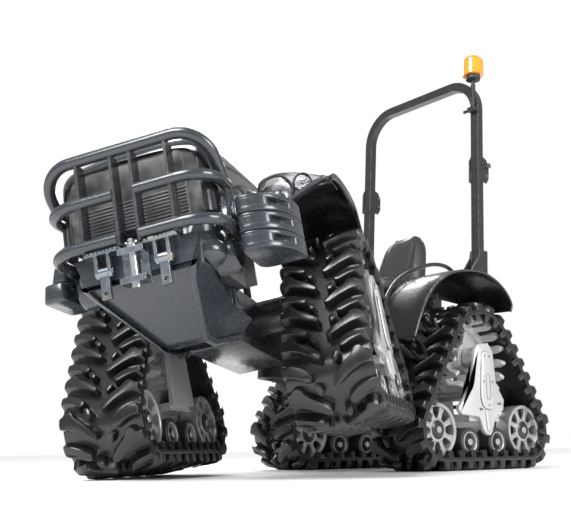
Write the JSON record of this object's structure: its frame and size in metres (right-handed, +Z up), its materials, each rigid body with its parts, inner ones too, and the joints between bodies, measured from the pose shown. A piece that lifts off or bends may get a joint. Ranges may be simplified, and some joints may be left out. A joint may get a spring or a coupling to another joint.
{
  "type": "articulated tracked tractor",
  "caption": "Compact articulated tractor on rubber track units, with a bull bar, weights, folding roll hoop and beacon, steered to one side and rolled at its centre joint.",
  "frame": {"origin": "on the ground, under the middle of the whole tractor's box", "axes": "+Z up, -Y the way the rear half faces, +X to the tractor's left"},
  "size_m": [1.8552, 3.1319, 2.3785],
  "materials": {
    "track_rubber": "wet black moulded rubber",
    "cast_silver": "silver paint on castings",
    "wheel_steel": "black hubs with bright rims",
    "roller_rubber": "rubber tyred rollers with bright rings",
    "chassis_black": "satin black chassis paint",
    "gloss_black": "gloss black panels",
    "satin_black": "satin black tube",
    "trim_black": "black moulded plastic",
    "seat_vinyl": "black vinyl seat cover",
    "zinc": "zinc plated steel",
    "bright_steel": "bright turned steel",
    "amber": "clear amber lens",
    "graphite_paint": "graphite blue-grey paint",
    "engine_grey": "grey castings",
    "hood_paint": "dark metallic paint",
    "grille_mesh": "grey wire mesh",
    "lamp_glass": "clear lamp lenses"
  },
  "bodies": {
    "rear_half": {"rear_chassis": "chassis_black", "rear_fenders": "gloss_black", "operator_floor": "chassis_black", "console": "trim_black", "seat_base": "chassis_black", "rops_base": "satin_black", "rops_pins": "zinc"},
    "seat": {"seat_cushion": "seat_vinyl", "seat_back": "seat_vinyl"},
    "steering_wheel": {"steering_wheel": "trim_black"},
    "roll_hoop": {"rops_hoop": "satin_black", "beacon_stem": "trim_black", "beacon_lens": "amber"},
    "lower_links": {"lower_links": "chassis_black"},
    "top_link": {"top_link": "zinc"},
    "pto_shaft": {"pto_shaft": "bright_steel"},
    "lift_lever": {"lift_lever": "trim_black"},
    "brake_pedals": {"brake_pedals": "chassis_black"},
    "yoke": {"centre_yoke": "chassis_black"},
    "front_half": {"front_chassis": "graphite_paint", "belly_skid": "graphite_paint", "engine": "engine_grey", "front_fender_left": "gloss_black", "front_fender_right": "gloss_black", "headlamps": "lamp_glass", "bull_bar": "graphite_paint", "front_weights": "graphite_paint", "tow_brackets": "zinc"},
    "hood": {"hood": "hood_paint", "grille": "grille_mesh"},
    "clevis_links": {"clevis_links": "zinc"},
    "tow_pin": {"tow_pin": "bright_steel"},
    "rear_left_track": {"rear_left_belt": "track_rubber", "rear_left_frame": "cast_silver"},
    "rear_left_sprocket": {"rear_left_sprocket": "cast_silver"},
    "rear_left_front_idler": {"rear_left_front_idler": "wheel_steel"},
    "rear_left_rear_idler": {"rear_left_rear_idler": "wheel_steel"},
    "rear_left_front_roller": {"rear_left_front_roller": "roller_rubber"},
    "rear_left_rear_roller": {"rear_left_rear_roller": "roller_rubber"},
    "rear_right_track": {"rear_right_belt": "track_rubber", "rear_right_frame": "cast_silver"},
    "rear_right_sprocket": {"rear_right_sprocket": "cast_silver"},
    "rear_right_front_idler": {"rear_right_front_idler": "wheel_steel"},
    "rear_right_rear_idler": {"rear_right_rear_idler": "wheel_steel"},
    "rear_right_front_roller": {"rear_right_front_roller": "roller_rubber"},
    "rear_right_rear_roller": {"rear_right_rear_roller": "roller_rubber"},
    "front_left_track": {"front_left_belt": "track_rubber", "front_left_frame": "cast_silver"},
    "front_left_sprocket": {"front_left_sprocket": "cast_silver"},
    "front_left_front_idler": {"front_left_front_idler": "wheel_steel"},
    "front_left_rear_idler": {"front_left_rear_idler": "wheel_steel"},
    "front_left_front_roller": {"front_left_front_roller": "roller_rubber"},
    "front_left_rear_roller": {"front_left_rear_roller": "roller_rubber"},
    "front_right_track": {"front_right_belt": "track_rubber", "front_right_frame": "cast_silver"},
    "front_right_sprocket": {"front_right_sprocket": "cast_silver"},
    "front_right_front_idler": {"front_right_front_idler": "wheel_steel"},
    "front_right_rear_idler": {"front_right_rear_idler": "wheel_steel"},
    "front_right_front_roller": {"front_right_front_roller": "roller_rubber"},
    "front_right_rear_roller": {"front_right_rear_roller": "roller_rubber"}
  },
  "joints": [
    {"name": "steer", "type": "hinge", "parent": "rear_half", "child": "yoke", "pos_m": [-0.2686, -0.01658, 0.60161], "axis": [0, 0.0767, 0.9971], "range_deg": [-68, 0]},
    {"name": "roll", "type": "hinge", "parent": "yoke", "child": "front_half", "pos_m": [-0.2686, -0.01658, 0.60161], "axis": [-0.5592, 0.8266, -0.0636], "range_deg": [-2.2, 27.8]},
    {"name": "rear_left_pitch", "type": "hinge", "parent": "rear_half", "child": "rear_left_track", "pos_m": [0.2074, 0.8504, 0.568], "axis": [1, 0, 0], "range_deg": [-2, 6]},
    {"name": "rear_left_drive", "type": "hinge", "parent": "rear_left_track", "child": "rear_left_sprocket", "pos_m": [0.2074, 0.8504, 0.568], "axis": [1, 0, 0], "continuous": true},
    {"name": "rear_left_front_idler_spin", "type": "hinge", "parent": "rear_left_track", "child": "rear_left_front_idler", "pos_m": [0.2074, 0.5084, 0.1978], "axis": [1, 0, 0], "continuous": true},
    {"name": "rear_left_rear_idler_spin", "type": "hinge", "parent": "rear_left_track", "child": "rear_left_rear_idler", "pos_m": [0.2074, 1.1924, 0.1978], "axis": [1, 0, 0], "continuous": true},
    {"name": "rear_left_front_roller_spin", "type": "hinge", "parent": "rear_left_track", "child": "rear_left_front_roller", "pos_m": [0.2074, 0.7404, 0.1383], "axis": [1, 0, 0], "continuous": true},
    {"name": "rear_left_rear_roller_spin", "type": "hinge", "parent": "rear_left_track", "child": "rear_left_rear_roller", "pos_m": [0.2074, 0.9604, 0.1383], "axis": [1, 0, 0], "continuous": true},
    {"name": "rear_right_pitch", "type": "hinge", "parent": "rear_half", "child": "rear_right_track", "pos_m": [-0.7446, 0.8504, 0.568], "axis": [1, 0, 0], "range_deg": [-2, 6]},
    {"name": "rear_right_drive", "type": "hinge", "parent": "rear_right_track", "child": "rear_right_sprocket", "pos_m": [-0.7446, 0.8504, 0.568], "axis": [1, 0, 0], "continuous": true},
    {"name": "rear_right_front_idler_spin", "type": "hinge", "parent": "rear_right_track", "child": "rear_right_front_idler", "pos_m": [-0.7446, 0.5084, 0.1978], "axis": [1, 0, 0], "continuous": true},
    {"name": "rear_right_rear_idler_spin", "type": "hinge", "parent": "rear_right_track", "child": "rear_right_rear_idler", "pos_m": [-0.7446, 1.1924, 0.1978], "axis": [1, 0, 0], "continuous": true},
    {"name": "rear_right_front_roller_spin", "type": "hinge", "parent": "rear_right_track", "child": "rear_right_front_roller", "pos_m": [-0.7446, 0.7404, 0.1383], "axis": [1, 0, 0], "continuous": true},
    {"name": "rear_right_rear_roller_spin", "type": "hinge", "parent": "rear_right_track", "child": "rear_right_rear_roller", "pos_m": [-0.7446, 0.9604, 0.1383], "axis": [1, 0, 0], "continuous": true},
    {"name": "front_left_pitch", "type": "hinge", "parent": "front_half", "child": "front_left_track", "pos_m": [0.43225, -0.22742, 0.75588], "axis": [0.8084, 0.5607, 0.1791], "range_deg": [-12.2, 5.8]},
    {"name": "front_left_drive", "type": "hinge", "parent": "front_left_track", "child": "front_left_sprocket", "pos_m": [0.43225, -0.22742, 0.75588], "axis": [0.8084, 0.5607, 0.1791], "continuous": true},
    {"name": "front_left_front_idler_spin", "type": "hinge", "parent": "front_left_track", "child": "front_left_front_idler", "pos_m": [0.68303, -0.47365, 0.39465], "axis": [0.8084, 0.5607, 0.1791], "continuous": true},
    {"name": "front_left_rear_idler_spin", "type": "hinge", "parent": "front_left_track", "child": "front_left_rear_idler", "pos_m": [0.29413, 0.089, 0.3887], "axis": [0.8084, 0.5607, 0.1791], "continuous": true},
    {"name": "front_left_front_roller_spin", "type": "hinge", "parent": "front_left_track", "child": "front_left_front_roller", "pos_m": [0.56018, -0.27717, 0.3341], "axis": [0.8084, 0.5607, 0.1791], "continuous": true},
    {"name": "front_left_rear_roller_spin", "type": "hinge", "parent": "front_left_track", "child": "front_left_rear_roller", "pos_m": [0.43509, -0.0962, 0.33218], "axis": [0.8084, 0.5607, 0.1791], "continuous": true},
    {"name": "front_right_pitch", "type": "hinge", "parent": "front_half", "child": "front_right_track", "pos_m": [-0.33738, -0.76119, 0.58541], "axis": [0.8084, 0.5607, 0.1791], "range_deg": [-12.7, 5.3]},
    {"name": "front_right_drive", "type": "hinge", "parent": "front_right_track", "child": "front_right_sprocket", "pos_m": [-0.33738, -0.76119, 0.58541], "axis": [0.8084, 0.5607, 0.1791], "continuous": true},
    {"name": "front_right_front_idler_spin", "type": "hinge", "parent": "front_right_track", "child": "front_right_front_idler", "pos_m": [-0.08799, -1.00448, 0.22124], "axis": [0.8084, 0.5607, 0.1791], "continuous": true},
    {"name": "front_right_rear_idler_spin", "type": "hinge", "parent": "front_right_track", "child": "front_right_rear_idler", "pos_m": [-0.47779, -0.44242, 0.22116], "axis": [0.8084, 0.5607, 0.1791], "continuous": true},
    {"name": "front_right_front_roller_spin", "type": "hinge", "parent": "front_right_track", "child": "front_right_front_roller", "pos_m": [-0.21144, -0.80777, 0.16267], "axis": [0.8084, 0.5607, 0.1791], "continuous": true},
    {"name": "front_right_rear_roller_spin", "type": "hinge", "parent": "front_right_track", "child": "front_right_rear_roller", "pos_m": [-0.33681, -0.62699, 0.16265], "axis": [0.8084, 0.5607, 0.1791], "continuous": true},
    {"name": "wheel_turn", "type": "hinge", "parent": "rear_half", "child": "steering_wheel", "pos_m": [-0.2686, 0.31745, 1.09745], "axis": [0, 0.5358, 0.8443], "range_deg": [-1440, 0]},
    {"name": "seat_slide", "type": "slide", "parent": "rear_half", "child": "seat", "axis": [0, 0.9971, -0.0767], "range_m": [-0.08, 0.015]},
    {"name": "rops_fold", "type": "hinge", "parent": "rear_half", "child": "roll_hoop", "pos_m": [-0.2686, 1.19648, 1.70279], "axis": [-1, 0, 0], "range_deg": [0, 95]},
    {"name": "lower_links_lift", "type": "hinge", "parent": "rear_half", "child": "lower_links", "pos_m": [-0.2686, 1.10403, 0.41008], "axis": [1, 0, 0], "range_deg": [0, 40]},
    {"name": "top_link_swing", "type": "hinge", "parent": "rear_half", "child": "top_link", "pos_m": [-0.2686, 1.21901, 0.69209], "axis": [1, 0, 0], "range_deg": [0, 70]},
    {"name": "pto_spin", "type": "hinge", "parent": "rear_half", "child": "pto_shaft", "pos_m": [-0.2686, 1.24554, 0.48945], "axis": [0, 0.9971, -0.0767], "continuous": true},
    {"name": "lift_lever_swing", "type": "hinge", "parent": "rear_half", "child": "lift_lever", "pos_m": [-0.6106, 0.81068, 0.96422], "axis": [1, 0, 0], "range_deg": [-25, 25]},
    {"name": "brake_press", "type": "hinge", "parent": "rear_half", "child": "brake_pedals", "pos_m": [-0.4186, 0.22702, 0.80853], "axis": [-1, 0, 0], "range_deg": [0, 14], "stiffness_Nm_per_rad": 60, "springref_deg": -6.88},
    {"name": "hood_open", "type": "hinge", "parent": "front_half", "child": "hood", "pos_m": [0.11954, -0.7072, 1.01174], "axis": [-0.8084, -0.5607, -0.1791], "range_deg": [0, 50]},
    {"name": "clevis_links_swing", "type": "hinge", "parent": "front_half", "child": "clevis_links", "pos_m": [0.6413, -1.37214, 0.73819], "axis": [0.8084, 0.5607, 0.1791], "range_deg": [-60, 3]},
    {"name": "tow_pin_lift", "type": "slide", "parent": "front_half", "child": "tow_pin", "axis": [-0.1837, -0.0487, 0.9818], "range_m": [0, 0.13]}
  ],
  "couplings": [
    {"joint": "rear_left_front_idler_spin", "follows": "rear_left_drive", "ratio": 1.6947},
    {"joint": "rear_left_rear_idler_spin", "follows": "rear_left_drive", "ratio": 1.6947},
    {"joint": "rear_left_front_roller_spin", "follows": "rear_left_drive", "ratio": 3.1049},
    {"joint": "rear_left_rear_roller_spin", "follows": "rear_left_drive", "ratio": 3.1049},
    {"joint": "rear_right_front_idler_spin", "follows": "rear_right_drive", "ratio": 1.6947},
    {"joint": "rear_right_rear_idler_spin", "follows": "rear_right_drive", "ratio": 1.6947},
    {"joint": "rear_right_front_roller_spin", "follows": "rear_right_drive", "ratio": 3.1049},
    {"joint": "rear_right_rear_roller_spin", "follows": "rear_right_drive", "ratio": 3.1049},
    {"joint": "front_left_front_idler_spin", "follows": "front_left_drive", "ratio": 1.6947},
    {"joint": "front_left_rear_idler_spin", "follows": "front_left_drive", "ratio": 1.6947},
    {"joint": "front_left_front_roller_spin", "follows": "front_left_drive", "ratio": 3.1049},
    {"joint": "front_left_rear_roller_spin", "follows": "front_left_drive", "ratio": 3.1049},
    {"joint": "front_right_front_idler_spin", "follows": "front_right_drive", "ratio": 1.6947},
    {"joint": "front_right_rear_idler_spin", "follows": "front_right_drive", "ratio": 1.6947},
    {"joint": "front_right_front_roller_spin", "follows": "front_right_drive", "ratio": 3.1049},
    {"joint": "front_right_rear_roller_spin", "follows": "front_right_drive", "ratio": 3.1049},
    {"joint": "wheel_turn", "follows": "steer", "ratio": 21.176}
  ]
}
